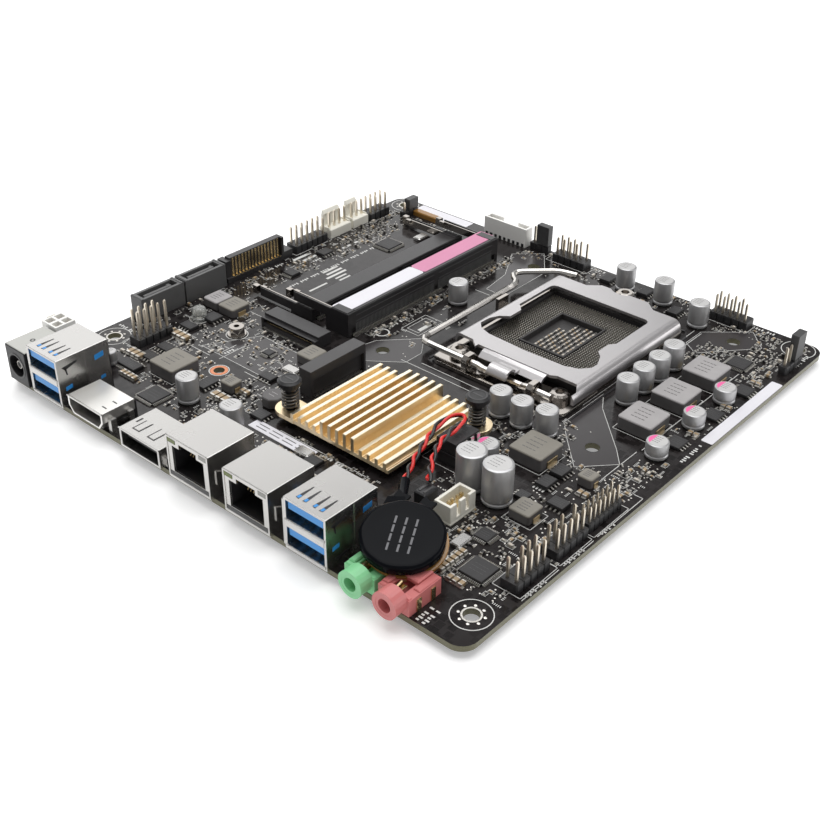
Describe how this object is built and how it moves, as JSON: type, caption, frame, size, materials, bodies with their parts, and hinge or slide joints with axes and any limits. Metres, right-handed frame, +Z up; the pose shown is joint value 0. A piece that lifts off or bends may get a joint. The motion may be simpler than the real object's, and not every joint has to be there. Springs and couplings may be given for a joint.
{
  "type": "computer motherboard",
  "caption": "Square small-form-factor computer motherboard with an open-frame processor socket, two flat memory slots, finned heatsink, rear connectors, drive ports and pin headers.",
  "frame": {"origin": "centre of the bare board's underside", "axes": "+X along the rear connector edge from the power jack to the audio jacks, -Y out of that edge, +Z up from the component side"},
  "size_m": [0.17, 0.1736, 0.0187],
  "materials": {
    "lacquer": "solder lacquer, near-black, semi-gloss",
    "nickel": "bright nickel plate",
    "satin_steel": "satin stainless steel",
    "tinplate": "bright tinplate shell",
    "gold_anodised": "gold anodised",
    "black_plastic": "moulded black",
    "grey_plastic": "moulded dark grey",
    "ivory_plastic": "moulded ivory",
    "green_plastic": "moulded green",
    "pink_plastic": "moulded pink",
    "shrink_sleeve": "black heat-shrink",
    "spring_wire": "blackened spring wire",
    "lead_insulation": "soft red insulation",
    "chip": "chip moulding"
  },
  "bodies": {
    "board_body": {"audio_jack_green": "green_plastic", "audio_jack_pink": "pink_plastic", "backlight_header": "black_plastic", "battery": "shrink_sleeve", "battery_lead": "lead_insulation", "battery_plug": "black_plastic", "chipset": "chip", "dc_jack": "black_plastic", "debug_header": "black_plastic", "display_connector": "ivory_plastic", "fan_header_far": "ivory_plastic", "fan_header_near": "ivory_plastic", "firmware_chip": "chip", "firmware_socket": "black_plastic", "front_audio_header": "black_plastic", "heatsink": "gold_anodised", "jumper_header_far": "black_plastic", "jumper_header_left": "black_plastic", "jumper_header_right": "black_plastic", "lan_port_left": "tinplate", "lan_port_right": "tinplate", "m2_slot_storage": "black_plastic", "m2_slot_wireless": "black_plastic", "m2_standoff": "nickel", "microphone_header": "black_plastic", "panel_header": "black_plastic", "pcb": "lacquer", "power_header": "ivory_plastic", "push_pin_spring_left": "spring_wire", "push_pin_spring_right": "spring_wire", "sata_port_far": "grey_plastic", "sata_port_near": "grey_plastic", "sata_power": "black_plastic", "serial_header": "black_plastic", "shoulder_screw": "nickel", "socket_backplate": "satin_steel", "socket_body": "chip", "socket_frame": "nickel", "socket_screw_left": "nickel", "socket_screw_right": "nickel", "sodimm_slot_low": "black_plastic", "sodimm_slot_tall": "black_plastic", "speaker_header": "ivory_plastic", "tpm_header": "black_plastic", "usb_header": "black_plastic", "usb_stack_left": "tinplate", "usb_stack_right": "tinplate", "video_port_left": "tinplate", "video_port_right": "tinplate"},
    "load_plate_body": {"load_plate": "satin_steel"},
    "load_lever_body": {"load_lever": "nickel"},
    "latch_low_near": {"sodimm_low_latch_near": "nickel"},
    "latch_low_far": {"sodimm_low_latch_far": "nickel"},
    "latch_tall_near": {"sodimm_tall_latch_near": "nickel"},
    "latch_tall_far": {"sodimm_tall_latch_far": "nickel"},
    "pin_left": {"push_pin_left": "black_plastic"},
    "pin_right": {"push_pin_right": "black_plastic"},
    "cap_left": {"jumper_cap_left": "grey_plastic"},
    "cap_far": {"jumper_cap_far": "grey_plastic"},
    "cap_right": {"jumper_cap_right": "grey_plastic"}
  },
  "joints": [
    {"name": "load_lever_hinge", "type": "hinge", "parent": "board_body", "child": "load_lever_body", "pos_m": [0.0246, 0.0039, 0.0052], "axis": [1, 0, 0], "range_deg": [0, 130]},
    {"name": "load_plate_hinge", "type": "hinge", "parent": "board_body", "child": "load_plate_body", "pos_m": [0.0246, 0.0039, 0.0052], "axis": [1, 0, 0], "range_deg": [0, 104]},
    {"name": "latch_low_near_spring", "type": "hinge", "parent": "board_body", "child": "latch_low_near", "pos_m": [-0.049, -0.0044, 0.0016], "axis": [0, 0, 1], "range_deg": [0, 2.2], "stiffness_Nm_per_rad": 0.02},
    {"name": "latch_low_far_spring", "type": "hinge", "parent": "board_body", "child": "latch_low_far", "pos_m": [-0.049, 0.066, 0.0016], "axis": [0, 0, -1], "range_deg": [0, 2.2], "stiffness_Nm_per_rad": 0.02},
    {"name": "latch_tall_near_spring", "type": "hinge", "parent": "board_body", "child": "latch_tall_near", "pos_m": [-0.0336, -0.0044, 0.0016], "axis": [0, 0, 1], "range_deg": [0, 2.2], "stiffness_Nm_per_rad": 0.02},
    {"name": "latch_tall_far_spring", "type": "hinge", "parent": "board_body", "child": "latch_tall_far", "pos_m": [-0.0336, 0.066, 0.0016], "axis": [0, 0, -1], "range_deg": [0, 2.2], "stiffness_Nm_per_rad": 0.02},
    {"name": "push_pin_left_slide", "type": "slide", "parent": "board_body", "child": "pin_left", "axis": [0, 0, -1], "range_m": [0, 0.0015], "stiffness_N_per_m": 1500, "deforming": ["push_pin_spring_left"]},
    {"name": "push_pin_right_slide", "type": "slide", "parent": "board_body", "child": "pin_right", "axis": [0, 0, -1], "range_m": [0, 0.0015], "stiffness_N_per_m": 1500, "deforming": ["push_pin_spring_right"]},
    {"name": "jumper_cap_left_pull", "type": "slide", "parent": "board_body", "child": "cap_left", "axis": [0, 0, 1], "range_m": [0, 0.0045]},
    {"name": "jumper_cap_far_pull", "type": "slide", "parent": "board_body", "child": "cap_far", "axis": [0, 0, 1], "range_m": [0, 0.007]},
    {"name": "jumper_cap_right_pull", "type": "slide", "parent": "board_body", "child": "cap_right", "axis": [0, 0, 1], "range_m": [0, 0.008]}
  ],
  "couplings": [
    {"joint": "load_plate_hinge", "follows": "load_lever_hinge", "ratio": 0.8}
  ]
}
